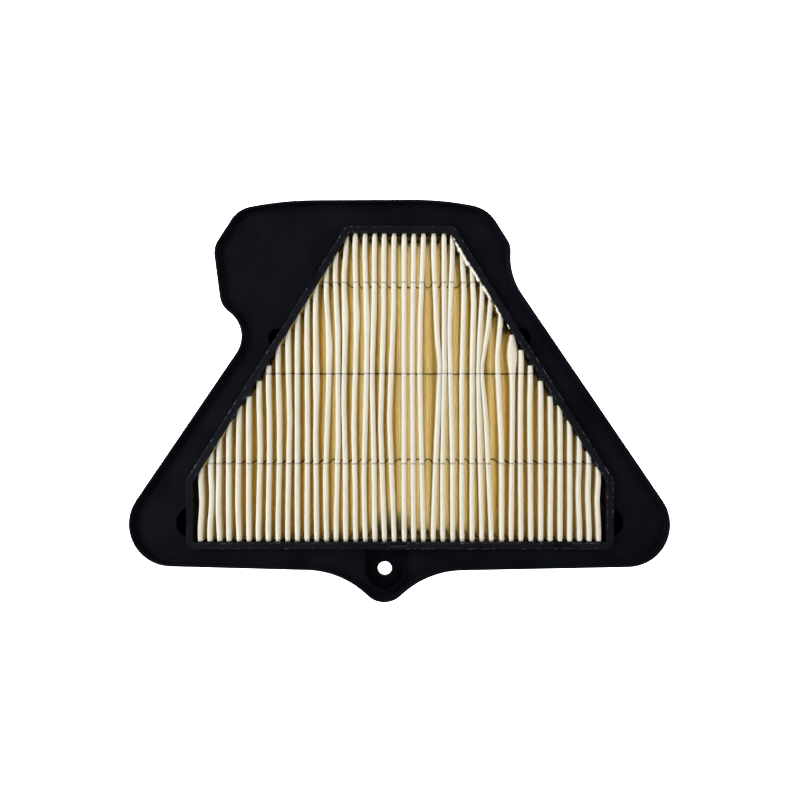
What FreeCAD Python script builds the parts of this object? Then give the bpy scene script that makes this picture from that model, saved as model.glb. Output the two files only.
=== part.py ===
import FreeCAD, Part
import math
import os

# Panel air filter. Z = 0 is the underside of the filter well, +Z is up, and the wide end is at -Y.
# The origin is at the middle of the overall length and width. All sizes are in millimetres.

# Levels
HEIGHT = 32.0            # top of the edge bead and of the media rim
PLATE_TOP = 28.0
PLATE_THICKNESS = 2.4
PLATE_BOTTOM = PLATE_TOP - PLATE_THICKNESS
SEAT = 26.8              # step in the plate that the media rim sits on

# Outline of the flange, anticlockwise: corner x, corner y, radius of the arc that rounds it
OUTLINE = [
    (-9.6, -135.8, 15.6),    # tongue round the screw pocket
    (18.0, -110.1, 58.0),    # hollow on the right of the tongue
    (67.9, -109.1, 400.0),   # slight bend of the front edge
    (199.0, -106.5, 27.6),   # front right corner
    (71.5, 80.8, 41.8),      # hollow below the right shoulder
    (72.2, 100.7, 12.4),     # right shoulder
    (57.1, 124.7, 23.1),
    (27.6, 130.4, 200.0),    # bowed rear edge
    (-75.5, 129.9, 220.0),
    (-104.4, 124.2, 18.9),   # rear left ear
    (-120.4, 99.4, 15.0),
    (-115.4, 61.4, 14.9),
    (-95.2, 46.3, 19.2),     # notch below the ear
    (-198.7, -105.8, 27.6),  # front left corner
    (-87.1, -108.7, 400.0),  # slight bend of the front edge
    (-38.3, -110.0, 57.6),   # hollow on the left of the tongue
]
BEAD_WIDTH = 2.2
BEAD_ROUND = 0.95
BEAD_ROOT = 0.8
EDGE_ROUND = 0.5         # lower outer edge of the flange

# Six-sided media rim and the well below it
RIM_CENTRE_X = 0.3
RIM_HALF_FRONT = 138.0   # half width at the front, where the sides are parallel
RIM_HALF_REAR = 34.9
RIM_FRONT = -95.8
RIM_SHOULDER = -50.9     # where the parallel sides end and the flanks begin
RIM_REAR = 113.0
RIM_BAND = 4.3           # width of the rim as seen from above
RIM_ROUND = 0.5
SEAT_WIDTH = 1.9         # how far the plate reaches in under the rim band
LEDGE_WIDTH = 3.6        # inward step that carries the lower folds
LEDGE_THICKNESS = 1.6
NOTCH_WIDTH = 2.4
NOTCH_DEPTH = 1.4
# Shallow notches in the top of the rim: centre x, centre y, length, angle of the length from +X
NOTCHES = [
    (-0.7, -92.6, 11.0, 0.0),
    (105.6, -92.6, 11.0, 0.0),
    (-55.7, 77.6, 12.5, 57.8),
]

# Folded paper
PLEATS = 42
PLEAT_PITCH = 6.291
PAPER = 0.5
FOLD_TOP = 30.5
FOLD_BOTTOM = 2.0
TIP_WIDTH = 3.4          # outside width of an upper fold

# Sealant films between the paper's edges and the well wall
SEALANT = 0.6
SEALANT_TOP = 22.0

# Gasket under the flange
SEAL_INSET = 0.8
SEAL_WIDTH = 3.8
SEAL_THICKNESS = 4.0
SEAL_ROUND = 0.8

# Blind cups beside the rim: centre x, centre y, inner radius, depth below the plate's top
CUPS = {
    "front_left_cup": (-135.4, -79.2, 10.0, 18.0),
    "front_right_cup": (135.6, -79.2, 10.0, 18.0),
    "rear_left_cup": (-79.2, 40.9, 6.3, 14.0),
    "rear_right_cup": (79.4, 40.9, 6.3, 14.0),
}
CUP_WALL = 1.8
CUP_ROUND = 1.2

# Screw pocket in the tongue
SCREW_X = -9.6
SCREW_Y = -110.2
POCKET_RADIUS = 12.2
POCKET_WALL = 1.3
POCKET_FLOOR_TOP = 23.5
POCKET_FLOOR = 3.0
POCKET_RIB_TOP = 29.6
SCREW_HOLE_RADIUS = 4.6

# Ejector-pin marks, each a fine ring-shaped groove in the plate: centre x, centre y, radius
PIN_MARKS = [
    (-96.2, 110.2, 6.0),
    (-101.2, 68.9, 6.0),
    (52.0, 110.3, 6.0),
    (-146.9, -50.9, 6.0),
    (148.2, -50.9, 6.0),
    (-152.8, -94.5, 6.0),
    (151.2, -94.9, 6.0),
    (-35.7, -102.7, 4.0),
    (17.0, -103.0, 4.0),
]
PIN_GROOVE_DEPTH = 0.25
PIN_GROOVE_ROUND = 0.35  # radius of the groove's section


def inset(corners, distance):
    """The same rounded outline with every side moved inwards by distance."""
    moved = []
    for i, (x, y, radius) in enumerate(corners):
        before = corners[i - 1]
        after = corners[(i + 1) % len(corners)]
        into = FreeCAD.Vector(x - before[0], y - before[1], 0).normalize()
        out = FreeCAD.Vector(after[0] - x, after[1] - y, 0).normalize()
        normals = FreeCAD.Vector(-into.y - out.y, into.x + out.x, 0)
        reach = distance / (1 + into.dot(out))
        turns_left = into.cross(out).z > 0
        new_radius = radius - distance if turns_left else radius + distance
        moved.append((x + normals.x * reach, y + normals.y * reach, max(new_radius, 0.6)))
    return moved


def rounded_face(corners, z):
    """A flat face at height z whose corners are rounded by tangent arcs."""
    edges = []
    last = None
    first = None
    for i, (x, y, radius) in enumerate(corners):
        following = corners[(i + 1) % len(corners)]
        corner = FreeCAD.Vector(x, y, z)
        before = FreeCAD.Vector(corners[i - 1][0], corners[i - 1][1], z)
        after = FreeCAD.Vector(following[0], following[1], z)
        back = (before - corner).normalize()
        ahead = (after - corner).normalize()
        half = back.getAngle(ahead) / 2
        start = corner + back * (radius / math.tan(half))
        end = corner + ahead * (radius / math.tan(half))
        middle = corner + (back + ahead).normalize() * (radius / math.sin(half) - radius)
        if last is not None:
            edges.append(Part.LineSegment(last, start).toShape())
        edges.append(Part.Arc(start, middle, end).toShape())
        last = end
        first = first or start
    edges.append(Part.LineSegment(last, first).toShape())
    return Part.Face(Part.Wire(edges))


def prism(corners, low, high):
    return rounded_face(corners, low).extrude(FreeCAD.Vector(0, 0, high - low))


def ring(outer, inner, low, high):
    return prism(outer, low, high).cut(prism(inner, low, high))


def edges_at(shape, z):
    """The edges that lie flat at height z."""
    return [e for e in shape.Edges if abs(e.BoundBox.ZMin - z) + abs(e.BoundBox.ZMax - z) < 0.001]


def hexagon():
    """Outer corners of the media rim, anticlockwise from the front left."""
    left = RIM_CENTRE_X - RIM_HALF_FRONT
    right = RIM_CENTRE_X + RIM_HALF_FRONT
    return [
        (left, RIM_FRONT, 4.5),
        (right, RIM_FRONT, 4.5),
        (right, RIM_SHOULDER, 6.0),
        (RIM_CENTRE_X + RIM_HALF_REAR, RIM_REAR, 4.0),
        (RIM_CENTRE_X - RIM_HALF_REAR, RIM_REAR, 4.0),
        (left, RIM_SHOULDER, 6.0),
    ]


def pocket_block(radius, low, high):
    """A round-ended solid that runs from the screw's axis back into the filter opening."""
    length = RIM_FRONT + RIM_BAND - SCREW_Y
    end = Part.makeCylinder(radius, high - low, FreeCAD.Vector(SCREW_X, SCREW_Y, low))
    body = Part.makeBox(2 * radius, length, high - low, FreeCAD.Vector(SCREW_X - radius, SCREW_Y, low))
    return end.fuse(body).removeSplitter()


def pocket_outside():
    return pocket_block(POCKET_RADIUS + POCKET_WALL, POCKET_FLOOR_TOP - POCKET_FLOOR, POCKET_RIB_TOP)


def rim_space():
    """Room that the media rim and the well take up inside the flange."""
    return prism(inset(hexagon(), SEAT_WIDTH), 0, SEAT).fuse(prism(hexagon(), SEAT, HEIGHT))


def cup_hollow(x, y, radius, depth):
    hollow = Part.makeCylinder(radius, depth + 1, FreeCAD.Vector(x, y, PLATE_TOP - depth))
    return hollow.cut(prism(hexagon(), 0, HEIGHT))


def flange_frame():
    """Flange plate with its edge bead, the seat for the media rim and openings for the cups and the pocket."""
    plate = prism(OUTLINE, PLATE_BOTTOM, HEIGHT)
    plate = plate.cut(prism(inset(OUTLINE, BEAD_WIDTH), PLATE_TOP, HEIGHT))
    plate = plate.makeFillet(BEAD_ROOT, edges_at(plate, PLATE_TOP))
    plate = plate.makeFillet(BEAD_ROUND, edges_at(plate, HEIGHT))
    plate = plate.makeFillet(EDGE_ROUND, edges_at(plate, PLATE_BOTTOM))
    cuts = [rim_space(), pocket_outside()]
    for cup in CUPS.values():
        cuts.append(cup_hollow(*cup))
    groove_z = PLATE_TOP - PIN_GROOVE_DEPTH + PIN_GROOVE_ROUND
    for x, y, radius in PIN_MARKS:
        cuts.append(Part.makeTorus(radius, PIN_GROOVE_ROUND, FreeCAD.Vector(x, y, groove_z)))
    return plate.cut(cuts).removeSplitter()


def locating_cup(x, y, radius, depth):
    """Blind cup under an opening of the plate, with its flat side along the well."""
    bottom = PLATE_TOP - depth - CUP_WALL
    cup = Part.makeCylinder(radius + CUP_WALL, PLATE_BOTTOM - bottom, FreeCAD.Vector(x, y, bottom))
    cup = cup.makeFillet(CUP_ROUND, edges_at(cup, bottom))
    return cup.cut([cup_hollow(x, y, radius, depth), rim_space()])


def screw_pocket():
    """Recess in the tongue for the screw's head, with a low rib round it and the screw hole in its floor."""
    hollow = pocket_block(POCKET_RADIUS, POCKET_FLOOR_TOP, HEIGHT)
    hollow = hollow.cut(prism(hexagon(), 0, HEIGHT))
    hole = Part.makeCylinder(SCREW_HOLE_RADIUS, HEIGHT, FreeCAD.Vector(SCREW_X, SCREW_Y, 0))
    return pocket_outside().cut([hollow, hole, rim_space()]).removeSplitter()


def media_rim():
    """Rim band that stands on the plate's seat, the well wall below it and the ledge at its foot."""
    outer = inset(hexagon(), SEAT_WIDTH)
    inner = inset(hexagon(), RIM_BAND)
    band = ring(hexagon(), inner, SEAT, HEIGHT)
    band = band.makeFillet(RIM_ROUND, edges_at(band, HEIGHT))
    wall = ring(outer, inner, 0, SEAT)
    ledge = ring(outer, inset(hexagon(), RIM_BAND + LEDGE_WIDTH), 0, LEDGE_THICKNESS)
    rim = band.multiFuse([wall, ledge])
    for x, y, length, angle in NOTCHES:
        corner = FreeCAD.Vector(x - length / 2, y - NOTCH_WIDTH / 2, HEIGHT - NOTCH_DEPTH)
        notch = Part.makeBox(length, NOTCH_WIDTH, 2 * NOTCH_DEPTH, corner)
        notch.rotate(FreeCAD.Vector(x, y, 0), FreeCAD.Vector(0, 0, 1), angle)
        rim = rim.cut(notch)
    return rim.removeSplitter()


def fold_line(offset):
    """Edges of the folded sheet's section, moved sideways off its middle line by offset."""
    top_radius = (TIP_WIDTH - PAPER) / 2
    bottom_radius = (PLEAT_PITCH - 2 * top_radius) / 2
    high = FOLD_TOP - PAPER / 2 - top_radius
    low = FOLD_BOTTOM + PAPER / 2 + bottom_radius
    first = RIM_CENTRE_X - PLEAT_PITCH * (PLEATS - 1) / 2
    y = RIM_FRONT
    edges = []
    for i in range(PLEATS):
        centre = first + i * PLEAT_PITCH
        left = centre - top_radius - offset
        right = centre + top_radius + offset
        crown = FreeCAD.Vector(centre, y, high + top_radius + offset)
        edges.append(Part.LineSegment(FreeCAD.Vector(left, y, low), FreeCAD.Vector(left, y, high)))
        edges.append(Part.Arc(FreeCAD.Vector(left, y, high), crown, FreeCAD.Vector(right, y, high)))
        edges.append(Part.LineSegment(FreeCAD.Vector(right, y, high), FreeCAD.Vector(right, y, low)))
        if i < PLEATS - 1:
            foot = FreeCAD.Vector(centre + PLEAT_PITCH / 2, y, low - bottom_radius + offset)
            next_left = FreeCAD.Vector(left + PLEAT_PITCH, y, low)
            edges.append(Part.Arc(FreeCAD.Vector(right, y, low), foot, next_left))
    return [e.toShape() for e in edges]


def pleated_media():
    """One sheet of paper in square-shouldered pleats, cut to the inside of the well."""
    outer = fold_line(PAPER / 2)
    inner = fold_line(-PAPER / 2)
    ends = []
    for k in (0, -1):
        here = outer[k].Vertexes[k].Point
        there = inner[k].Vertexes[k].Point
        ends.append(Part.LineSegment(here, there).toShape())
    section = Part.Face(Part.Wire(Part.__sortEdges__(outer + inner + ends)))
    sheet = section.extrude(FreeCAD.Vector(0, RIM_REAR - RIM_FRONT, 0))
    room = prism(inset(hexagon(), RIM_BAND + SEALANT), 0, HEIGHT)
    return sheet.common(room)


def sealants():
    """Glue films on the well wall: one at each end of the folds and one along each flank."""
    outer = inset(hexagon(), RIM_BAND)
    inner = inset(hexagon(), RIM_BAND + SEALANT)
    film = ring(outer, inner, LEDGE_THICKNESS, SEALANT_TOP)
    front_y = RIM_FRONT + RIM_BAND + 3 * SEALANT
    rear_y = RIM_REAR - RIM_BAND - 3 * SEALANT
    reach = RIM_HALF_FRONT
    size = 2 * reach
    centre = FreeCAD.Vector(RIM_CENTRE_X, 0, 0)
    front = Part.makeBox(size, size, HEIGHT, centre + FreeCAD.Vector(-reach, front_y - size, 0))
    rear = Part.makeBox(size, size, HEIGHT, centre + FreeCAD.Vector(-reach, rear_y, 0))
    left = Part.makeBox(reach, rear_y - front_y, HEIGHT, centre + FreeCAD.Vector(-reach, front_y, 0))
    right = Part.makeBox(reach, rear_y - front_y, HEIGHT, centre + FreeCAD.Vector(0, front_y, 0))
    return {
        "front_sealant": film.common(front),
        "rear_sealant": film.common(rear),
        "left_sealant": film.common(left),
        "right_sealant": film.common(right),
    }


def perimeter_seal():
    """Soft gasket bonded under the edge of the flange, cut away where the screw pocket reaches into it."""
    outer = inset(OUTLINE, SEAL_INSET)
    inner = inset(OUTLINE, SEAL_INSET + SEAL_WIDTH)
    foot = PLATE_BOTTOM - SEAL_THICKNESS
    seal = ring(outer, inner, foot, PLATE_BOTTOM)
    return seal.makeFillet(SEAL_ROUND, edges_at(seal, foot)).cut(pocket_outside())


def main():
    os.makedirs("parts", exist_ok=True)
    pieces = {
        "flange_frame": flange_frame(),
        "screw_pocket": screw_pocket(),
        "media_rim": media_rim(),
        "pleated_media": pleated_media(),
        "perimeter_seal": perimeter_seal(),
    }
    pieces.update({name: locating_cup(*cup) for name, cup in CUPS.items()})
    pieces.update(sealants())
    for name, shape in pieces.items():
        shape.exportStep("parts/" + name + ".step")
        print(name, shape.isValid(), len(shape.Solids), round(shape.Volume), "mm3")


main()
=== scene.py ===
import math
import random

import bmesh
import bpy
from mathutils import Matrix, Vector, noise


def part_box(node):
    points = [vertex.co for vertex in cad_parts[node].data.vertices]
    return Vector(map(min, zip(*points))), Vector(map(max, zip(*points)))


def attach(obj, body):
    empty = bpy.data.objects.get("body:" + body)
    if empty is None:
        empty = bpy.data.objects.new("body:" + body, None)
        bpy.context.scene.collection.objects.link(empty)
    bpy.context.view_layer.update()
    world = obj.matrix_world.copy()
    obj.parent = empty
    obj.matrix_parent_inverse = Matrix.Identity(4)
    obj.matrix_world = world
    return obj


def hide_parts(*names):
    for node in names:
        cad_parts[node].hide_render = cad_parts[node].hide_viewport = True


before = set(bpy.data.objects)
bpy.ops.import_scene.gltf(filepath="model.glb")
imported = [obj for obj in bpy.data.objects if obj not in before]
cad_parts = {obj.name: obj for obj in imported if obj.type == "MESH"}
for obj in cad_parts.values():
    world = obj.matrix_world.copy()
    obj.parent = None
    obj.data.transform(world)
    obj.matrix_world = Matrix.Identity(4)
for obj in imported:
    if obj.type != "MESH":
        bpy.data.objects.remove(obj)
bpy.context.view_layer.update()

MM = 0.001

# ---------------------------------------------------------------- places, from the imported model
RIM_LOW, RIM_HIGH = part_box("media_rim")
PAPER_LOW, PAPER_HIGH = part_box("pleated_media")
GLUE_LOW, GLUE_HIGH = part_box("front_sealant")
SEAL_LOW, SEAL_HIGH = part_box("perimeter_seal")
CENTRE_X = (RIM_LOW.x + RIM_HIGH.x) / 2
RIM_BAND = 4.3 * MM           # width of the rim seen from above
RIM_HALF_REAR = 34.9 * MM     # half width of the rim's narrow end
RIM_SHOULDER = -50.9 * MM     # y where the flanks begin
RIM_HALF_FRONT = (RIM_HIGH.x - RIM_LOW.x) / 2
FRONT_WALL = RIM_LOW.y + RIM_BAND
REAR_WALL = RIM_HIGH.y - RIM_BAND
NOTCH_X = -0.7 * MM           # middle of the shallow notch in the rim's front side
NOTCH_HALF = 5.5 * MM
NOTCH_DEPTH = 2.0 * MM

# Outward normal of the rim's flank on the +X side, and how far the flank lies from the rim's middle line
FLANK_RUN = Vector((RIM_HALF_FRONT - RIM_HALF_REAR, RIM_SHOULDER - RIM_HIGH.y))
FLANK_NORMAL = Vector((-FLANK_RUN.y, FLANK_RUN.x)).normalized()
FLANK_REACH = FLANK_NORMAL.dot(Vector((RIM_HALF_REAR, RIM_HIGH.y)))

# ---------------------------------------------------------------- folded paper
PLEATS = 42
PITCH = 6.291 * MM
PAPER = 0.42 * MM
TIP_HALF = 1.42 * MM          # half width of a fold's tip, to the middle of the paper
PAPER_GAP = 0.55 * MM         # between the paper's cut edge and the well wall
ROWS = 58                     # quads along each fold
INK_LINES = (76.9, 17.7, -40.6)   # y of the three printed lines, in mm
PAINTED_SHADE_X = -4 * MM             # middle of the painted shade in the valleys by the front wall, and how far it reaches
PAINTED_SHADE_Y = FRONT_WALL + 1 * MM
PAINTED_SHADE_REACH_X = 17 * MM
PAINTED_SHADE_REACH_Y = 16 * MM
VALLEY_FOLLOW = 0.08          # share of the tips' lean that the valleys follow
BELLY = 0.30 * MM             # how far a fold's walls bulge
SQUARE_STEP = 0.8 * MM        # how far a square-cut tip reaches past the flank's line at its outer edge

# One side of a pleat from its valley up to its tip, as (across, level). Across runs from 0 at the tip's
# middle to 1 at its edge and 2 at the valley's middle. Level runs from 0 at the foot to 1 at the top.
HALF_SECTION = [
    (2.0, 0.0), (1.62, 0.022), (1.28, 0.070), (1.06, 0.17), (1.0, 0.38), (1.0, 0.62), (1.0, 0.82),
    (0.99, 0.945), (0.90, 0.982), (0.70, 0.994),
]
# The whole pleat, as (side, across, level), up to the last point before the next pleat's first
SECTION = [(-1, across, level) for across, level in HALF_SECTION]
SECTION.append((1, 0.0, 1.0))
SECTION += [(1, across, level) for across, level in HALF_SECTION[:0:-1]]

# Most tips lie a little to the left of their valley lines. These are the shift of a straight fold, and
# what is added to every fold's shift from one fold to the next, in mm.
TIP_SHIFT = -0.8
TIP_SPREAD = 0.02
# Folds that bend, or that lie a little off the rest, each with its few places as (y, shift of the tip) in mm
BENDS = {
    0: [(-82, -0.7), (-68, 0.5), (-50, -0.4)],
    1: [(-85, -0.9), (-62, 0.7), (-45, -0.2)],
    2: [(-88, -1.0), (-70, -1.6), (-45, -1.2)],
    3: [(0, -1.2)],
    4: [(-88, -0.9), (-65, -1.6), (-15, -0.8)],
    6: [(-85, -1.0), (-32, 0.4), (5, -0.5)],
    7: [(-85, -0.9), (-35, 0.1), (-15, 0.1), (10, -0.6)],
    8: [(-85, -0.8), (-35, 0.3), (-12, 0.3), (25, -0.8)],
    9: [(-85, -0.8), (-45, -0.1), (-12, 0.7), (35, -0.6)],
    11: [(-85, -0.9), (-25, -0.3), (40, -0.8)],
    12: [(-75, -0.9), (-25, -1.5), (5, -1.0), (55, -1.6)],
    13: [(-85, -1.0), (-45, -1.3), (15, 0.9), (37, 1.2), (70, -1.0)],
    14: [(-85, -0.9), (-25, 0.6), (45, 0.4), (80, -1.4)],
    15: [(-45, -1.0), (0, -2.2), (52, -1.1), (80, -2.1), (100, -0.6)],
    16: [(-60, -1.0), (-15, -1.9), (52, 0.0), (95, -1.2)],
    17: [(-85, -1.0), (-50, -1.7), (15, 0.0), (50, 0.4), (95, -1.1)],
    18: [(-60, -1.0), (15, -2.6), (35, -2.2), (65, -1.2)],
    19: [(-85, -1.1), (-15, -3.4), (60, -1.3)],
    20: [(-80, -1.2), (-10, -4.0), (60, -1.2)],
    22: [(-85, -1.0), (25, -1.7), (103, -0.9)],
    23: [(-85, -1.0), (20, -3.2), (55, -2.8), (100, -1.0)],
    24: [(-85, -0.9), (-40, 0.8), (22, 4.0), (40, 1.9), (95, -0.5)],
    25: [(-50, -1.0), (40, 0.0)],
    26: [(-45, -0.8), (48, -2.9), (95, -1.0)],
    27: [(15, -1.1), (72, 0.4), (92, -0.7)],
    28: [(25, -0.8), (65, 0.3), (82, -0.6)],
    29: [(-80, -0.9), (18, -3.2), (40, -2.4), (72, -0.3)],
    30: [(-80, -1.1), (-10, -4.5), (21, -7.4), (45, -3.3), (66, -1.2)],
    31: [(-30, -0.5), (28, -3.3), (56, -0.9)],
    32: [(-85, -0.7), (-15, 0.2), (45, 0.3)],
    33: [(-85, -0.6), (-25, -1.1), (5, -1.0), (30, -0.2)],
    34: [(-85, -0.5), (-5, -1.2), (17, -0.7)],
    35: [(0, -0.3)],
    36: [(-85, -0.5), (-40, 0.0), (-5, -0.4)],
    37: [(0, -0.4)],
    38: [(0, -0.5)],
    39: [(-85, -0.3), (-60, -1.4), (-33, -0.4)],
    40: [(-85, -0.4), (-60, -1.4), (-45, -0.8)],
    41: [(-85, -0.6), (-65, -1.7), (-52, -0.9)],
}
# Folds wider or narrower than usual for a stretch: (y of the middle, reach, times the usual width)
WIDTHS = {
    9: [(30, 10, 1.12)],
    12: [(14, 10, 1.35)],
    13: [(37, 8, 1.32), (20, 12, 1.1)],
    14: [(44, 8, 1.12)],
    15: [(55, 8, 1.28)],
    16: [(54, 9, 1.28)],
    17: [(54, 9, 1.28)],
    18: [(56, 8, 1.12)],
    20: [(25, 12, 1.1)],
    24: [(20, 9, 0.72)],
    29: [(20, 12, 0.80)],
    30: [(20, 8, 0.72)],
    32: [(31, 8, 2.25), (49, 6, 0.20)],
}
# Pleats whose tip is cut square a little short of the flank
SQUARE_CUT = (5, 6, 7, 32, 33, 34, 35, 36)


def bell(value, middle, reach):
    return math.exp(-0.5 * ((value - middle) / reach) ** 2)


def smooth(edge0, edge1, value):
    t = min(max((value - edge0) / (edge1 - edge0), 0.0), 1.0)
    return t * t * (3 - 2 * t)


def pleat_x(pleat):
    return CENTRE_X + (pleat - (PLEATS - 1) / 2) * PITCH


def well_end(x, inside):
    """y where a line at x meets the rear wall or a flank of the well, that far inside the rim's outline."""
    flank = (FLANK_REACH - inside - FLANK_NORMAL.x * abs(x - CENTRE_X)) / FLANK_NORMAL.y
    return min(flank, RIM_HIGH.y - inside)


def bend_at(pleat, y):
    """Shift of a fold's tip at y, both in mm, on straight runs through its bends and level beyond them."""
    points = BENDS.get(pleat, [(0, TIP_SHIFT)])
    if y <= points[0][0]:
        return points[0][1]
    for (y0, s0), (y1, s1) in zip(points, points[1:]):
        if y <= y1:
            return s0 + (s1 - s0) * (y - y0) / (y1 - y0)
    return points[-1][1]


def width_at(pleat, y):
    """How many times the usual width a fold's tip has at y, in mm."""
    width = 1.0 + 0.07 * noise.noise(Vector((y * 0.045, pleat * 2.3, 9.0)))
    for middle, reach, times in WIDTHS.get(pleat, []):
        width *= 1 + (times - 1) * bell(y, middle, reach)
    return width


def lean_table():
    """First whole mm of y, and from there on every pleat's shift, kept clear of its neighbours' tips."""
    first = math.floor(FRONT_WALL / MM)
    last = math.ceil(REAR_WALL / MM)
    table = []
    for y in range(first, last + 1):
        shifts = []
        for pleat in range(PLEATS):
            shift = sum(bend_at(pleat, y + step) for step in (-4, -2, 0, 2, 4)) / 5
            shift += TIP_SPREAD * pleat
            shift += 0.10 * noise.noise(Vector((y * 0.12, pleat * 5.1, 4.0)))
            shifts.append(shift * MM)
        for _ in range(6):
            for i in range(PLEATS - 1):
                closest = TIP_HALF * (width_at(i, y) + width_at(i + 1, y)) + PAPER - PITCH
                short = closest - (shifts[i + 1] - shifts[i])
                if short > 0:
                    shifts[i] -= short / 2
                    shifts[i + 1] += short / 2
        table.append(shifts)
    return first, table


LEAN_START, LEAN_TABLE = lean_table()


def lean(pleat, y):
    """Sideways shift of a fold's tip at y, in metres."""
    place = min(max(y / MM - LEAN_START, 0), len(LEAN_TABLE) - 1.001)
    row = int(place)
    share = place - row
    return LEAN_TABLE[row][pleat] * (1 - share) + LEAN_TABLE[row + 1][pleat] * share


def tip_half(pleat, y):
    """Half width of a fold's tip at y. Folds taper towards the front and rear."""
    to_end = min(y - FRONT_WALL, REAR_WALL - y)
    return TIP_HALF * width_at(pleat, y / MM) * (1 - 0.22 * math.exp(-to_end / (1.6 * MM)))


def paper_point(pleat, side, across, level, y, back):
    """Place of a point of the folded sheet. Tips lean and vary, and the valleys stay where they are held."""
    neighbour = min(max(pleat + side, 0), PLEATS - 1)
    to_wall = min(y - FRONT_WALL, back - y)
    hold = 1 - 0.4 * math.exp(-max(to_wall, 0) / (4 * MM))
    sway = lean(pleat, y) * hold
    half = tip_half(pleat, y)
    if across <= 1.0:
        offset = half * across
    else:
        offset = half + (across - 1) * (PITCH / 2 - half)
    follow = smooth(0.0, 0.9, level)
    valley = VALLEY_FOLLOW * (sway + lean(neighbour, y) * hold)
    x = pleat_x(pleat) + side * offset + sway * follow + valley * (1 - follow)
    belly = math.sin(math.pi * level) * BELLY
    x += belly * noise.noise(Vector((pleat * 1.9 + side, y * 35, 2.0)))
    top = PAPER_HIGH.z - PAPER / 2 - 0.2 * MM
    top += 0.3 * MM * noise.noise(Vector((y * 30, pleat * 1.3, 6.0)))
    top -= 1.3 * MM * max(width_at(pleat, y / MM) - 1.1, 0)    # a flattened tip stands lower
    bottom = PAPER_LOW.z + PAPER / 2
    z = bottom + (top - bottom) * level
    return Vector((x, y, min(z, PAPER_HIGH.z - PAPER / 2)))


def paper_end(pleat, side, across, level):
    """y where this line of the sheet ends at the flank or at the rear wall."""
    x = pleat_x(pleat) + side * TIP_HALF * min(across, 2)
    end = well_end(x, RIM_BAND + PAPER_GAP * (1 - 0.7 * level))
    if pleat in SQUARE_CUT and level > 0.7:
        outer = pleat_x(pleat) + math.copysign(TIP_HALF, pleat_x(pleat) - CENTRE_X)
        end = min(end, well_end(outer, RIM_BAND + PAPER_GAP) + SQUARE_STEP)
    return end


def folded_paper():
    """The pleated sheet, trimmed to the well. U counts the pleats and V is y in centimetres."""
    columns = [(pleat, *entry) for pleat in range(PLEATS) for entry in SECTION]
    columns.append((PLEATS - 1, 1, 2.0, 0.0))
    front = FRONT_WALL + PAPER_GAP
    verts, uvs = [], []
    for index, (pleat, side, across, level) in enumerate(columns):
        back = paper_end(pleat, side, across, level)
        for row in range(ROWS + 1):
            share = row / ROWS
            share -= 0.035 * math.sin(2 * math.pi * share)
            y = front + (back - front) * share
            verts.append(paper_point(pleat, side, across, level, y, back))
            uvs.append((index / len(SECTION), y / MM / 10))
    faces = []
    for column in range(len(columns) - 1):
        for row in range(ROWS):
            a = column * (ROWS + 1) + row
            faces.append((a, a + ROWS + 1, a + ROWS + 2, a + 1))
    mesh = bpy.data.meshes.new("folded_paper")
    mesh.from_pydata(verts, [], faces)
    layer = mesh.uv_layers.new(name="sheet")
    for loop in mesh.loops:
        layer.data[loop.index].uv = uvs[loop.vertex_index]
    piece = add_piece("folded_paper", mesh)
    solid = piece.modifiers.new("thickness", "SOLIDIFY")
    solid.thickness = PAPER
    solid.offset = 0.0
    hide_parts("pleated_media")
    return piece


# ---------------------------------------------------------------- helpers
def add_piece(name, mesh):
    """A new object for mesh that rides on the filter."""
    mesh.name = name
    for polygon in mesh.polygons:
        polygon.use_smooth = True
    piece = bpy.data.objects.new(name, mesh)
    bpy.context.scene.collection.objects.link(piece)
    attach(piece, "root")
    return piece


def paint(piece, material):
    """Gives every slot of piece the one material."""
    if not piece.data.materials:
        piece.data.materials.append(material)
    for held in piece.material_slots:
        held.link = "OBJECT"
        held.material = material


def tube_shell(rows, work):
    """Skins rows of section points in turn and caps both ends."""
    rings = [[work.verts.new(point) for point in row] for row in rows]
    for near, far in zip(rings, rings[1:]):
        for k in range(len(near)):
            after = (k + 1) % len(near)
            work.faces.new((near[k], near[after], far[after], far[k]))
    work.faces.new(rings[0][::-1])
    work.faces.new(rings[-1])


def shell_piece(name, stretches):
    """One piece out of several closed stretches, each a list of section rows."""
    work = bmesh.new()
    for rows in stretches:
        tube_shell(rows, work)
    bmesh.ops.recalc_face_normals(work, faces=work.faces[:])
    mesh = bpy.data.meshes.new(name)
    work.to_mesh(mesh)
    work.free()
    return add_piece(name, mesh)


def flank_spot(side, y, inside):
    """A point on the flank of that side (-1 left, +1 right) at y, that far inside the rim's outline."""
    reach = (FLANK_REACH - inside - FLANK_NORMAL.y * y) / FLANK_NORMAL.x
    return Vector((CENTRE_X + side * reach, y, 0))


def wall_film(start, end, low, crest, thickness, into):
    """Rows of a thin upright layer on a wall, from height low up to crest(point along the wall)."""
    run = end - start
    steps = max(int(run.length / (0.9 * MM)), 6)
    levels = 8
    rows = []
    for i in range(steps + 1):
        foot = start + run * (i / steps)
        top = crest(foot)
        heights = [low + (top - low) * k / (levels - 1) for k in range(levels)]
        row = [foot + into * (0.03 * MM) + Vector((0, 0, z)) for z in heights]
        for z in reversed(heights):
            rise = (z - low) / (top - low)
            bulge = 0.45 + 0.4 * math.sin(math.pi * rise)
            bulge += 0.25 * noise.noise(Vector((foot.x * 160, foot.y * 160, z * 160)))
            row.append(foot + into * (thickness * min(max(bulge, 0.2), 1.0)) + Vector((0, 0, z)))
        rows.append(row)
    return rows


# ---------------------------------------------------------------- glue and side strips
GLUE_THICKNESS = 0.5 * MM


def glue_crest(height):
    """An uneven upper edge of a glue film, about 1 mm under height."""
    def crest(foot):
        return height - 1.0 * MM + 1.2 * MM * noise.noise(foot * 90)
    return crest


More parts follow.
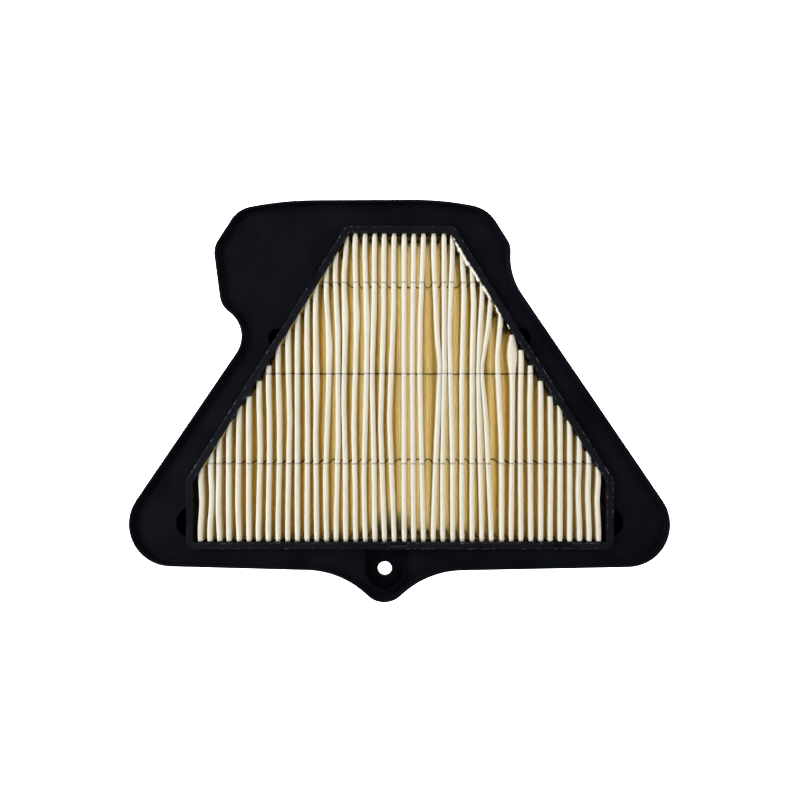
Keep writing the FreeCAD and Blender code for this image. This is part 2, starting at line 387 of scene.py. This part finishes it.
def wall_corners(inside):
    """Half widths of the well at the front and at the rear, and y of its shoulder."""
    half_front = RIM_HALF_FRONT - inside
    half_rear = (FLANK_REACH - inside - FLANK_NORMAL.y * (RIM_HIGH.y - inside)) / FLANK_NORMAL.x
    return half_front, half_rear, well_end(CENTRE_X + half_front, inside)


def valley_threads():
    """Glue that climbs in a small arc across each valley on the front wall."""
    stretches = []
    for pleat in range(PLEATS - 1):
        dice = random.Random(pleat)
        left = pleat_x(pleat) + TIP_HALF * 0.75
        right = pleat_x(pleat + 1) - TIP_HALF * 0.75
        sag = dice.uniform(3.0, 5.5) * MM
        height = dice.uniform(20.0, 23.5) * MM
        radius = dice.uniform(0.22, 0.36) * MM
        rows = []
        for i in range(9):
            share = i / 8
            arc = math.sin(math.pi * share)
            x = left + (right - left) * share
            spot = Vector((x, FRONT_WALL + (0.45 + 0.9 * arc) * MM, height - sag * arc))
            row = []
            for k in range(6):
                turn = 2 * math.pi * k / 6
                row.append(spot + Vector((0, math.cos(turn), math.sin(turn))) * radius * (0.5 + 0.5 * arc))
            rows.append(row)
        stretches.append(rows)
    return stretches


def glue():
    """The glue films: at the ends of the folds and low on both flanks."""
    front_half, rear_half, shoulder = wall_corners(RIM_BAND)
    crest = glue_crest(GLUE_HIGH.z)
    low_crest = glue_crest(GLUE_HIGH.z - 7 * MM)

    def spot(x, y):
        return Vector((CENTRE_X + x, y, 0))

    front = wall_film(spot(-front_half, FRONT_WALL), spot(front_half, FRONT_WALL), GLUE_LOW.z, crest,
                      GLUE_THICKNESS, Vector((0, 1, 0)))
    rear = wall_film(spot(-rear_half, REAR_WALL), spot(rear_half, REAR_WALL), GLUE_LOW.z, crest,
                     GLUE_THICKNESS, Vector((0, -1, 0)))
    pieces = [shell_piece("front_glue", [front] + valley_threads()),
              shell_piece("rear_glue", [rear])]
    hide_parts("front_sealant")
    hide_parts("rear_sealant")
    for side, name, node in ((1, "right_glue", "right_sealant"), (-1, "left_glue", "left_sealant")):
        corner = spot(side * front_half, shoulder)
        flank_in = Vector((-side * FLANK_NORMAL.x, -FLANK_NORMAL.y, 0))
        straight = wall_film(spot(side * front_half, FRONT_WALL + 1.8 * MM), corner, GLUE_LOW.z, low_crest,
                             GLUE_THICKNESS, Vector((-side, 0, 0)))
        slanted = wall_film(corner, spot(side * rear_half, REAR_WALL - 1.8 * MM), GLUE_LOW.z, low_crest,
                            GLUE_THICKNESS, flank_in)
        piece = shell_piece(name, [straight, slanted])
        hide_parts(node)
        pieces.append(piece)
    return pieces


def side_strip(side, dips):
    """Paper band on the well wall, where the folds' cut edges are bonded. dips are (y, reach, drop) in mm."""
    def crest(foot):
        top = PAPER_HIGH.z - 0.6 * MM + 0.35 * MM * noise.noise(foot * 260)
        lowered = sum(drop * MM * bell(foot.y / MM, y, reach) for y, reach, drop in dips)
        return top - min(lowered, 18 * MM)

    bottom = GLUE_HIGH.z - 10.5 * MM
    start = flank_spot(side, RIM_SHOULDER + 4 * MM, RIM_BAND)
    end = flank_spot(side, REAR_WALL - 1.0 * MM, RIM_BAND)
    into = Vector((-side * FLANK_NORMAL.x, -FLANK_NORMAL.y, 0))
    name = "left_side_strip" if side < 0 else "right_side_strip"
    return shell_piece(name, [wall_film(start, end, bottom, crest, 0.40 * MM, into)])


# ---------------------------------------------------------------- torn edge
def ragged_rows(start, end, width, rise, dice):
    """Section rows of a ragged ribbon laid from start to end."""
    run = end - start
    along = run.normalized()
    side = Vector((-along.y, along.x, 0))
    steps = max(int(run.length / (0.5 * MM)), 5)
    thick = 0.11 * MM
    rows = []
    for i in range(steps + 1):
        share = i / steps
        taper = 0.25 + 0.75 * math.sin(math.pi * min(max(share, 0.02), 0.98)) ** 0.5
        middle = start + run * share
        left = 0.5 + 0.45 * noise.noise(middle * 600) + dice.uniform(-0.25, 0.30)
        right = 0.5 + 0.40 * noise.noise(middle * 450 + Vector((9, 0, 0))) + dice.uniform(-0.20, 0.20)
        centre = middle + Vector((0, 0, rise * abs(noise.noise(middle * 230))))
        up = Vector((0, 0, thick))
        rows.append([centre - side * (width * taper * right), centre + up,
                     centre + side * (width * taper * left), centre - up])
    return rows


def torn_edge():
    """Torn paper caught along the rear half of the right flank."""
    # Each stretch: first y, last y, how far inside the rim's outline at each end, width, all in mm
    stretches = [
        (106.0, 103.6, 3.9, 4.6, 0.9),
        (102.5, 90.0, 4.7, 5.3, 2.2),
        (92.0, 82.5, 5.5, 4.9, 2.4),
        (84.5, 77.0, 4.8, 5.2, 2.1),
        (74.5, 70.0, 4.7, 5.1, 2.3),
        (70.8, 65.5, 5.1, 5.0, 1.6),
        (61.8, 54.5, 4.8, 5.6, 1.5),
        (49.5, 46.5, 4.6, 5.2, 0.7),
    ]
    height = RIM_HIGH.z - 0.14 * MM
    dice = random.Random(5)
    rows = []
    for first, last, first_in, last_in, width in stretches:
        start = flank_spot(1, first * MM, first_in * MM) + Vector((0, 0, height))
        end = flank_spot(1, last * MM, last_in * MM) + Vector((0, 0, height))
        rows.append(ragged_rows(start, end, width * MM, -0.4 * MM, dice))
    return shell_piece("torn_edge", rows)


# ---------------------------------------------------------------- gasket
def foam_gasket():
    """The gasket under the flange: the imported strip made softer, with a butt joint and an uneven skin."""
    piece = add_piece("foam_gasket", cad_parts["perimeter_seal"].data.copy())
    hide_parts("perimeter_seal")
    remesh = piece.modifiers.new("remesh", "REMESH")
    remesh.mode = "VOXEL"
    remesh.voxel_size = 0.85 * MM
    remesh.use_smooth_shade = True
    depsgraph = bpy.context.evaluated_depsgraph_get()
    skin = bpy.data.meshes.new_from_object(piece.evaluated_get(depsgraph))
    piece.modifiers.clear()
    piece.data = skin
    skin.name = "foam_gasket"
    for vertex in skin.vertices:
        place = vertex.co
        push = 0.10 * noise.noise(place * 400) + 0.18 * noise.noise(place * 60) - 0.11
        if place.y < -0.09:
            push -= 0.35 * bell(place.x / MM, 52, 0.4)
        moved = place + vertex.normal * (push * MM)
        moved.z = min(max(moved.z, SEAL_LOW.z), SEAL_HIGH.z)
        vertex.co = moved
    return piece


# ---------------------------------------------------------------- shader nodes
class Nodes:
    """A material's node tree, with short calls to add nodes and join them."""

    def __init__(self, name):
        self.material = bpy.data.materials.new(name)
        self.material.use_nodes = True
        self.tree = self.material.node_tree
        self.tree.nodes.clear()
        self.output = self.add("ShaderNodeOutputMaterial")

    def add(self, kind, **settings):
        node = self.tree.nodes.new(kind)
        for key, value in settings.items():
            setattr(node, key, value)
        return node

    def join(self, source, target):
        self.tree.links.new(source, target)

    def feed(self, socket, value):
        """Links value to socket if it is a socket, and sets it if it is a number or a colour."""
        if isinstance(value, bpy.types.NodeSocket):
            self.join(value, socket)
        else:
            socket.default_value = value

    def math(self, operation, a, b=0.0, clamp=False):
        node = self.add("ShaderNodeMath", operation=operation, use_clamp=clamp)
        self.feed(node.inputs[0], a)
        self.feed(node.inputs[1], b)
        return node.outputs[0]

    def mix(self, factor, a, b):
        node = self.add("ShaderNodeMix", data_type="RGBA")
        self.feed(node.inputs["Factor"], factor)
        self.feed(node.inputs["A"], a)
        self.feed(node.inputs["B"], b)
        return node.outputs["Result"]

    def span(self, value, low, high, to_low=0.0, to_high=1.0):
        """value's place between low and high, clamped, as a number from to_low to to_high."""
        node = self.add("ShaderNodeMapRange", interpolation_type="SMOOTHSTEP")
        self.feed(node.inputs["Value"], value)
        node.inputs["From Min"].default_value = low
        node.inputs["From Max"].default_value = high
        node.inputs["To Min"].default_value = to_low
        node.inputs["To Max"].default_value = to_high
        return node.outputs["Result"]

    def place(self):
        return self.add("ShaderNodeTexCoord").outputs["Object"]

    def split(self, vector):
        node = self.add("ShaderNodeSeparateXYZ")
        self.join(vector, node.inputs[0])
        return node.outputs

    def scaled(self, vector, scale):
        node = self.add("ShaderNodeMapping")
        self.feed(node.inputs["Vector"], vector)
        node.inputs["Scale"].default_value = scale
        return node.outputs["Vector"]

    def noise(self, vector, scale, detail=3.0, roughness=0.55):
        node = self.add("ShaderNodeTexNoise")
        self.feed(node.inputs["Vector"], vector)
        node.inputs["Scale"].default_value = scale
        node.inputs["Detail"].default_value = detail
        node.inputs["Roughness"].default_value = roughness
        return node.outputs["Fac"]

    def specks(self, vector, scale, size, share):
        """Small round dots, in that share of the cells, 0 to 1."""
        node = self.add("ShaderNodeTexVoronoi")
        self.feed(node.inputs["Vector"], vector)
        node.inputs["Scale"].default_value = scale
        dot = self.span(node.outputs["Distance"], size, size * 0.4)
        pick = self.add("ShaderNodeSeparateColor")
        self.join(node.outputs["Color"], pick.inputs[0])
        chosen = self.math("LESS_THAN", pick.outputs[0], share)
        return self.math("MULTIPLY", dot, chosen)

    def bump(self, height, distance, strength=1.0):
        node = self.add("ShaderNodeBump")
        node.inputs["Strength"].default_value = strength
        node.inputs["Distance"].default_value = distance
        self.feed(node.inputs["Height"], height)
        return node.outputs["Normal"]

    def principled(self, **values):
        node = self.add("ShaderNodeBsdfPrincipled")
        for key, value in values.items():
            self.feed(node.inputs[key.replace("_", " ")], value)
        return node.outputs[0]

    def finish(self, shader):
        self.join(shader, self.output.inputs["Surface"])
        return self.material


# ---------------------------------------------------------------- materials
def frame_plastic(name, light, dark):
    """Blue-black moulded plastic with a fine grain, soft clouding, dust and lint."""
    n = Nodes(name)
    place = n.place()
    cloud = n.noise(place, 45.0, 4.0)
    grain = n.noise(place, 2600.0, 2.0)
    base = n.mix(n.span(cloud, 0.3, 0.7), dark, light)
    dust = n.specks(place, 170.0, 0.055, 0.5)
    lint = n.specks(place, 420.0, 0.10, 0.12)
    dust = n.math("MAXIMUM", dust, n.math("MULTIPLY", lint, 0.5))
    base = n.mix(n.math("MULTIPLY", dust, 0.75), base, (0.034, 0.040, 0.052, 1))
    rough = n.math("ADD", n.span(cloud, 0.25, 0.75, 0.46, 0.56), n.math("MULTIPLY", grain, 0.08))
    normal = n.bump(grain, 0.00006, 0.35)
    return n.finish(n.principled(Base_Color=base, Roughness=rough, Normal=normal, Specular_IOR_Level=0.03))


def rim_distance(n, place):
    """Distance inwards from the rim's outer edge, in metres, from the six sides' straight lines."""
    parts = n.split(place)
    across = n.math("ABSOLUTE", n.math("SUBTRACT", parts["X"], CENTRE_X))
    side = n.math("SUBTRACT", across, RIM_HALF_FRONT)
    flank = n.math("MULTIPLY", across, FLANK_NORMAL.x)
    flank = n.math("ADD", flank, n.math("MULTIPLY", parts["Y"], FLANK_NORMAL.y))
    flank = n.math("SUBTRACT", flank, FLANK_REACH)
    front = n.math("SUBTRACT", RIM_LOW.y, parts["Y"])
    rear = n.math("SUBTRACT", parts["Y"], RIM_HIGH.y)
    far = n.math("MAXIMUM", n.math("MAXIMUM", side, flank), n.math("MAXIMUM", front, rear))
    return n.math("MULTIPLY", far, -1.0)


def rim_plastic():
    """The same plastic, a little greyer, darkened down its walls below the top as painted shade, with pale
    scuffs along its edges and round the notch.
    """
    n = Nodes("rim_plastic_look")
    place = n.place()
    parts = n.split(place)
    height = parts["Z"]
    cloud = n.noise(place, 60.0, 4.0)
    grain = n.noise(place, 2600.0, 2.0)
    base = n.mix(n.span(cloud, 0.3, 0.7), (0.0036, 0.0043, 0.0066, 1), (0.0056, 0.0064, 0.0092, 1))
    # Painted shade: the rim's colour darkens from its top down its walls.
    shade = n.span(height, RIM_HIGH.z - 1.0 * MM, RIM_HIGH.z - 6 * MM)
    base = n.mix(shade, base, (0.0016, 0.0015, 0.0016, 1))
    inward = rim_distance(n, place)
    outer_line = n.math("MULTIPLY", n.span(inward, 0.9 * MM, 0.3 * MM), n.span(inward, -0.2 * MM, 0.1 * MM))
    inner_line = n.math("MULTIPLY", n.span(inward, 3.4 * MM, 4.0 * MM), n.span(inward, 4.6 * MM, 4.2 * MM))
    from_notch = n.math("ABSOLUTE", n.math("SUBTRACT", parts["X"], NOTCH_X))
    notch_x = n.math("SUBTRACT", from_notch, NOTCH_HALF)
    notch_y = n.math("SUBTRACT", RIM_LOW.y + NOTCH_DEPTH, parts["Y"])
    notch = n.span(n.math("ABSOLUTE", n.math("MAXIMUM", notch_x, notch_y)), 0.4 * MM, 0.1 * MM)
    broken = n.span(n.noise(place, 420.0, 3.0, 0.7), 0.50, 0.68)
    worn = n.span(n.noise(place, 24.0, 2.0), 0.36, 0.62)
    scuff = n.math("MULTIPLY", n.math("MAXIMUM", outer_line, n.math("MULTIPLY", inner_line, 0.6)), broken)
    scuff = n.math("MULTIPLY", scuff, n.math("ADD", 0.25, worn), clamp=True)
    top_only = n.span(height, RIM_HIGH.z - 1.2 * MM, RIM_HIGH.z - 0.5 * MM)
    scuff = n.math("MULTIPLY", scuff, top_only)
    dust = n.math("MULTIPLY", n.specks(place, 260.0, 0.07, 0.35), top_only)
    base = n.mix(n.math("MULTIPLY", dust, 0.7), base, (0.06, 0.068, 0.082, 1))
    near_front = n.span(parts["Y"], RIM_LOW.y + 6 * MM, RIM_LOW.y + 5 * MM)
    notch = n.math("MULTIPLY", n.math("MULTIPLY", notch, near_front), 0.22)
    scuff = n.math("MAXIMUM", scuff, notch)
    base = n.mix(n.math("MULTIPLY", scuff, 0.8), base, (0.11, 0.12, 0.135, 1))
    rough = n.math("ADD", n.span(cloud, 0.25, 0.75, 0.42, 0.54), n.math("MULTIPLY", scuff, 0.2))
    normal = n.bump(n.math("ADD", grain, n.math("MULTIPLY", scuff, 1.5)), 0.00006, 0.4)
    return n.finish(n.principled(Base_Color=base, Roughness=rough, Normal=normal, Specular_IOR_Level=0.04))


def filter_paper():
    """Cream paper with score marks and printed lines, painted golden down its walls and grey-green at its
    floor as painted light and shade, with a painted shade patch near the front wall. Light passes through it.
    """
    n = Nodes("filter_paper_look")
    place = n.place()
    parts = n.split(place)
    height = parts["Z"]
    sheet = n.add("ShaderNodeUVMap", uv_map="sheet")
    uv = n.split(sheet.outputs["UV"])
    from_tip = n.math("ABSOLUTE", n.math("SUBTRACT", n.math("FRACT", uv["X"]), 0.5))
    deep = n.span(height, PAPER_HIGH.z - 1.0 * MM, PAPER_HIGH.z - 7 * MM)
    middle = n.span(height, PAPER_HIGH.z - 6 * MM, PAPER_LOW.z + 8 * MM)
    low = n.span(height, PAPER_LOW.z + 8 * MM, PAPER_LOW.z + 0.6 * MM)
    # Painted light and shade by height: cream tips, golden walls for the light bounced between the folds, and
    # a grey-green floor for the light from below.
    colour = n.mix(deep, (0.82, 0.79, 0.68, 1), (0.99, 0.86, 0.45, 1))
    colour = n.mix(middle, colour, (0.99, 0.90, 0.61, 1))
    colour = n.mix(low, colour, (0.90, 0.88, 0.72, 1))
    fibre = n.noise(n.scaled(place, (1.0, 0.45, 0.12)), 900.0, 4.0, 0.65)
    blotch = n.noise(place, 120.0, 3.0)
    colour = n.mix(n.span(fibre, 0.35, 0.7, 0.0, 0.07), colour, (0.62, 0.52, 0.30, 1))
    colour = n.mix(n.span(blotch, 0.45, 0.75, 0.0, 0.07), colour, (0.60, 0.52, 0.32, 1))
    along = n.math("MULTIPLY", uv["Y"], 2 * math.pi)
    dots = n.span(n.math("SINE", n.math("MULTIPLY", along, 5.2)), -0.2, 0.6)
    score = n.math("MULTIPLY", n.math("MULTIPLY", dots, n.span(from_tip, 0.020, 0.008)),
                   n.span(blotch, 0.40, 0.58, 0.10, 1.0))
    colour = n.mix(n.math("MULTIPLY", score, 0.55), colour, (0.42, 0.37, 0.27, 1))
    dashes = n.span(n.math("SINE", n.math("MULTIPLY", along, 5.0)), 0.0, 0.5)
    crease = n.math("MULTIPLY", n.math("MULTIPLY", dashes, n.span(from_tip, 0.470, 0.484)),
                    n.span(n.noise(place, 35.0, 2.0), 0.40, 0.60))
    colour = n.mix(n.math("MULTIPLY", crease, 0.8), colour, (1.0, 0.98, 0.86, 1))
    # Painted shade: the deep parts of the paper darken in a patch by the front wall, and pass less light
    # there.
    front_shade_x = n.math("DIVIDE", n.math("SUBTRACT", parts["X"], PAINTED_SHADE_X), PAINTED_SHADE_REACH_X)
    front_shade_y = n.math("DIVIDE", n.math("SUBTRACT", parts["Y"], PAINTED_SHADE_Y), PAINTED_SHADE_REACH_Y)
    front_shade = n.math("ADD", n.math("MULTIPLY", front_shade_x, front_shade_x), n.math("MULTIPLY", front_shade_y, front_shade_y))
    front_shade = n.math("ADD", front_shade, n.math("MULTIPLY", n.math("SUBTRACT", blotch, 0.5), 1.2))
    front_shade = n.math("MULTIPLY", n.span(front_shade, 1.1, -0.1), deep)
    colour = n.mix(n.math("MULTIPLY", front_shade, 0.6), colour, (0.035, 0.04, 0.035, 1))
    wobble = n.math("MULTIPLY", n.math("SUBTRACT", n.noise(place, 160.0, 2.0), 0.5), 0.08)
    printed = n.math("ADD", uv["Y"], wobble)
    ink = 0.0
    for line in INK_LINES:
        gap = n.math("ABSOLUTE", n.math("SUBTRACT", printed, line / 10))
        ink = n.math("MAXIMUM", n.span(gap, 0.060, 0.034), ink)
    patchy = n.span(n.noise(place, 700.0, 2.0), 0.30, 0.58, 0.5, 1.0)
    # Painted shade on the print: the ink is drawn stronger and darker down in the valleys than on the tips.
    ink_depth_shade = n.math("ADD", n.math("MULTIPLY", deep, 0.30), 0.68)
    ink = n.math("MULTIPLY", n.math("MULTIPLY", ink, patchy), ink_depth_shade)
    ink_colour = n.mix(deep, (0.16, 0.15, 0.20, 1), (0.022, 0.022, 0.014, 1))
    colour = n.mix(ink, colour, ink_colour)
    normal = n.bump(n.math("ADD", fibre, n.math("MULTIPLY", score, -0.8)), 0.00006, 0.35)
    skin = n.principled(Base_Color=colour, Roughness=0.92, Normal=normal, Specular_IOR_Level=0.12)
    glow = n.add("ShaderNodeBsdfTranslucent")
    # Painted light: the colour of the light passing through the paper is golden in the walls and dimmer at
    # the floor, standing in for light scattered between the folds.
    through = n.mix(deep, (0.60, 0.57, 0.48, 1), (1.0, 0.87, 0.43, 1))
    through = n.mix(middle, through, (1.0, 0.91, 0.60, 1))
    through = n.mix(low, through, (0.58, 0.50, 0.33, 1))
    through = n.mix(n.math("MULTIPLY", crease, 0.8), through, (0.68, 0.68, 0.55, 1))
    dimmed = n.math("MAXIMUM", ink, n.math("MULTIPLY", front_shade, 0.6))
    n.join(n.mix(dimmed, through, (0.05, 0.05, 0.03, 1)), glow.inputs["Color"])
    n.join(normal, glow.inputs["Normal"])
    both = n.add("ShaderNodeMixShader")
    n.join(n.span(height, PAPER_HIGH.z - 1.0 * MM, PAPER_HIGH.z - 7 * MM, 0.30, 0.60), both.inputs[0])
    n.join(skin, both.inputs[1])
    n.join(glow.outputs[0], both.inputs[2])
    return n.finish(both.outputs[0])


def plain_paper(name, light, dark):
    """Bare paper fibres without print, as at a torn edge or on the side strips."""
    n = Nodes(name)
    place = n.place()
    fibre = n.noise(n.scaled(place, (1.0, 0.4, 1.0)), 1400.0, 4.0, 0.7)
    colour = n.mix(n.span(fibre, 0.35, 0.7), light, dark)
    normal = n.bump(fibre, 0.00012, 0.7)
    return n.finish(n.principled(Base_Color=colour, Roughness=0.95, Normal=normal, Specular_IOR_Level=0.1))


def foam_rubber():
    """Black closed-cell foam with small open pores on its skin."""
    n = Nodes("foam_rubber_look")
    place = n.place()
    pores = n.add("ShaderNodeTexVoronoi")
    n.join(place, pores.inputs["Vector"])
    pores.inputs["Scale"].default_value = 1500.0
    skin = n.noise(place, 300.0, 3.0)
    pit = n.span(pores.outputs["Distance"], 0.05, 0.45)
    # Painted shade: the open pores are darker towards their middles.
    colour = n.mix(pit, (0.004, 0.004, 0.0045, 1), (0.020, 0.020, 0.022, 1))
    colour = n.mix(n.span(skin, 0.4, 0.7, 0.0, 0.5), colour, (0.030, 0.030, 0.033, 1))
    normal = n.bump(n.math("ADD", pit, skin), 0.00015, 0.6)
    return n.finish(n.principled(Base_Color=colour, Roughness=0.88, Normal=normal, Specular_IOR_Level=0.2))


def amber_glue(name, light, dark):
    """Amber glue with trapped bubbles and a slight gloss."""
    n = Nodes(name)
    place = n.place()
    flow = n.noise(n.scaled(place, (1.0, 1.0, 0.5)), 180.0, 4.0)
    bubbles = n.specks(place, 900.0, 0.28, 0.3)
    colour = n.mix(n.span(flow, 0.3, 0.7), dark, light)
    colour = n.mix(n.math("MULTIPLY", bubbles, 0.5), colour, (0.30, 0.21, 0.08, 1))
    normal = n.bump(n.math("ADD", flow, bubbles), 0.0002, 0.5)
    rough = n.span(flow, 0.3, 0.7, 0.28, 0.5)
    return n.finish(n.principled(Base_Color=colour, Roughness=rough, Normal=normal, Specular_IOR_Level=0.4))


def pale_floor():
    """The light table that the filter lies on."""
    n = Nodes("pale_floor_look")
    soft = n.noise(n.place(), 3.0, 2.0)
    colour = n.mix(soft, (0.93, 0.93, 0.93, 1), (0.95, 0.95, 0.95, 1))
    return n.finish(n.principled(Base_Color=colour, Roughness=0.8, Emission_Color=(1, 1, 1, 1),
                                 Emission_Strength=2.6))


# ---------------------------------------------------------------- build
plastic = frame_plastic("frame_plastic_look", (0.0032, 0.0040, 0.0066, 1), (0.0019, 0.0024, 0.0041, 1))
# The screw pocket and the four cups get darker copies of the frame plastic: painted shade in these deep
# hollows.
pocket = frame_plastic("pocket_plastic_painted_shade_look", (0.0020, 0.0025, 0.0042, 1), (0.0010, 0.0013, 0.0022, 1))
cup_painted_shade = frame_plastic("cup_plastic_painted_shade_look", (0.0016, 0.0018, 0.0024, 1), (0.0009, 0.0010, 0.0014, 1))
paint(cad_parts["flange_frame"], plastic)
paint(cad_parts["screw_pocket"], pocket)
for cup in ("front_left_cup", "front_right_cup", "rear_left_cup", "rear_right_cup"):
    paint(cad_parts[cup], cup_painted_shade)
paint(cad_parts["media_rim"], rim_plastic())
paint(folded_paper(), filter_paper())
# A lighter copy of the amber glue for the front film and its threads, and a darker copy for the rear and
# flank films.
light_glue = amber_glue("light_glue_look", (0.42, 0.30, 0.11, 1), (0.24, 0.17, 0.06, 1))
dark_glue = amber_glue("dark_glue_look", (0.10, 0.062, 0.016, 1), (0.030, 0.018, 0.005, 1))
for bead in glue():
    paint(bead, light_glue if bead.name == "front_glue" else dark_glue)
# The side strips get bare paper darkened to golden brown: painted shade down in the well.
strip_painted_shade_look = plain_paper("side_strip_painted_shade_look", (0.62, 0.47, 0.20, 1), (0.45, 0.32, 0.12, 1))
paint(side_strip(-1, [(26, 4, 14), (14, 4, 14), (4, 4, 14), (-6, 4, 8), (101, 6, 8)]), strip_painted_shade_look)
paint(side_strip(1, [(48, 6, 14), (36, 6, 14), (24, 6, 14), (12, 6, 14), (0, 5, 10), (-28, 17, 9)]),
      strip_painted_shade_look)
paint(torn_edge(), plain_paper("torn_paper_look", (0.80, 0.78, 0.68, 1), (0.55, 0.50, 0.38, 1)))
paint(foam_gasket(), foam_rubber())

# ---------------------------------------------------------------- floor, light and camera
FLOOR_REACH = 3.0
corners = [(-FLOOR_REACH, -FLOOR_REACH, 0), (FLOOR_REACH, -FLOOR_REACH, 0),
           (FLOOR_REACH, FLOOR_REACH, 0), (-FLOOR_REACH, FLOOR_REACH, 0)]
floor_mesh = bpy.data.meshes.new("floor")
floor_mesh.from_pydata(corners, [], [(0, 1, 2, 3)])
floor = bpy.data.objects.new("floor", floor_mesh)
bpy.context.scene.collection.objects.link(floor)
floor.location.z = -0.3 * MM
paint(floor, pale_floor())


def lamp(name, place, size, watts, aim=(0, 0, 0.03)):
    """A soft area light that faces aim."""
    data = bpy.data.lights.new(name, "AREA")
    data.shape = "RECTANGLE"
    data.size, data.size_y = size
    data.energy = watts
    light = bpy.data.objects.new(name, data)
    bpy.context.scene.collection.objects.link(light)
    light.location = place
    light.rotation_euler = (Vector(aim) - Vector(place)).to_track_quat("-Z", "Y").to_euler()


lamp("key", (-1.0, 0.25, 0.62), (0.7, 0.7), 19.0)
lamp("fill", (1.0, 0.20, 0.62), (0.7, 0.7), 6.0)
lamp("rear", (0.0, 1.05, 0.80), (0.9, 0.5), 5.0)
lamp("front", (0.0, -1.05, 0.80), (0.9, 0.5), 4.0)

world = bpy.data.worlds.new("studio")
world.use_nodes = True
world.node_tree.nodes["Background"].inputs["Color"].default_value = (1, 1, 1, 1)
world.node_tree.nodes["Background"].inputs["Strength"].default_value = 0.28
bpy.context.scene.world = world
bpy.context.scene.view_settings.view_transform = "Standard"

camera_data = bpy.data.cameras.new("camera")
camera_data.sensor_width = 36.0
camera_data.lens = 32.85
camera_data.shift_y = -0.0225
camera = bpy.data.objects.new("camera", camera_data)
bpy.context.scene.collection.objects.link(camera)
camera.location = (0.39 * MM, 12.3 * MM, 503.0 * MM)
bpy.context.scene.camera = camera
